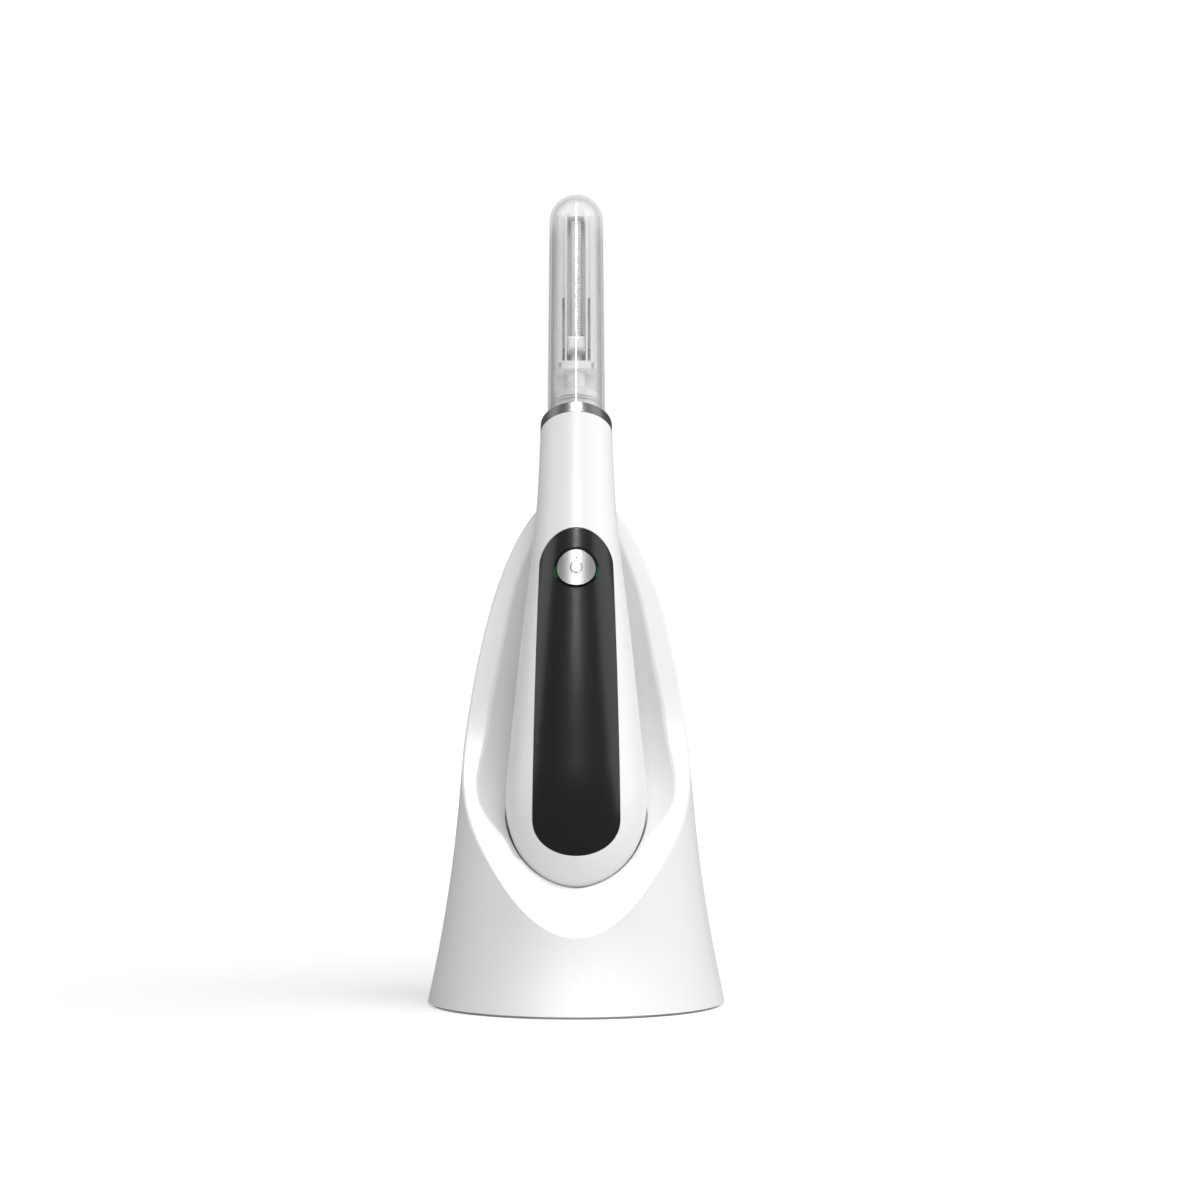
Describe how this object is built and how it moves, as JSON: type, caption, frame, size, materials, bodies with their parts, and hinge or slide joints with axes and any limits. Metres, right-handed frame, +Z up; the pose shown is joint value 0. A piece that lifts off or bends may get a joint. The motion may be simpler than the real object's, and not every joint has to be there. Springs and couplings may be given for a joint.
{
  "type": "cordless handheld wand on charging stand",
  "caption": "Slim cordless wand with a clear round-ended head, satin black inset panel and round metal button, leaning back in a flared white sculpted charging stand",
  "frame": {"origin": "centre of the foot pad's underside, on the surface the stand rests on", "axes": "+Z up, -Y towards the front (panel, button and open side of the stand), +X to the right seen from the front"},
  "size_m": [0.0912, 0.1037, 0.2542],
  "materials": {
    "stand_white": "satin, warm-neutral white",
    "grip_white": "smooth satin-gloss white",
    "panel_black": "satin black",
    "button_metal": "fine brushed, anodised",
    "collar_steel": "brushed round the band",
    "sleeve_clear": "clear moulded plastic",
    "frame_white": "moulded white",
    "light_guide": "milky light guide, lit green",
    "rubber_grey": "soft matt rubber",
    "silicone": "translucent silicone",
    "steel": "bright turned steel",
    "board_green": "circuit board",
    "copper": "wound copper wire",
    "ferrite": "ferrite sheet",
    "cell_wrap": "shrink-wrapped cell",
    "inner_grey": "glass-filled nylon",
    "inlet_metal": "drawn steel"
  },
  "bodies": {
    "stand": {"stand_shell": "stand_white", "stand_base": "inner_grey", "foot_pad": "rubber_grey", "base_screws": "steel", "ballast_plate": "steel", "stand_board": "board_green", "board_screws": "steel", "power_inlet": "inlet_metal", "light_pipe": "rubber_grey", "pocket_cup": "stand_white", "seat_pad": "silicone", "charging_coil": "copper", "coil_shield": "ferrite", "coil_bracket": "inner_grey"},
    "wand": {"handle_front": "grip_white", "handle_rear": "grip_white", "front_panel": "panel_black", "light_ring": "light_guide", "button_switch": "inner_grey", "main_board": "board_green", "battery_cell": "cell_wrap", "chassis": "inner_grey", "chassis_screws": "steel", "motor": "steel", "gearbox": "steel", "motor_cradle": "inner_grey", "collar_ring": "collar_steel", "head_neck": "frame_white", "sleeve_seal": "silicone", "shaft_seal": "rubber_grey", "head_frame": "frame_white", "tip_bearing": "frame_white", "receiving_coil": "copper", "receiving_shield": "ferrite"},
    "button": {"power_button": "button_metal"},
    "sleeve": {"clear_sleeve": "sleeve_clear"},
    "screw": {"lead_screw": "frame_white", "shaft_coupling": "steel"},
    "carriage": {"carriage": "frame_white", "emitter": "frame_white"}
  },
  "joints": [
    {"name": "wand_lift", "type": "slide", "parent": "stand", "child": "wand", "axis": [0, 0, 1], "range_m": [0, 0.13]},
    {"name": "button_press", "type": "slide", "parent": "wand", "child": "button", "axis": [0, 0.9135, -0.4067], "range_m": [0, 0.0006], "stiffness_N_per_m": 2500},
    {"name": "sleeve_pull", "type": "slide", "parent": "wand", "child": "sleeve", "axis": [0, 0.3453, 0.9385], "range_m": [0, 0.08]},
    {"name": "screw_turn", "type": "hinge", "parent": "wand", "child": "screw", "pos_m": [0, 0.03104, 0.19539], "axis": [0, 0.3453, 0.9385], "range_deg": [0, 1190]},
    {"name": "carriage_travel", "type": "slide", "parent": "wand", "child": "carriage", "axis": [0, 0.3453, 0.9385], "range_m": [0, 0.0132]}
  ],
  "couplings": [
    {"joint": "screw_turn", "follows": "carriage_travel", "rad_per_m": 1570.8}
  ]
}
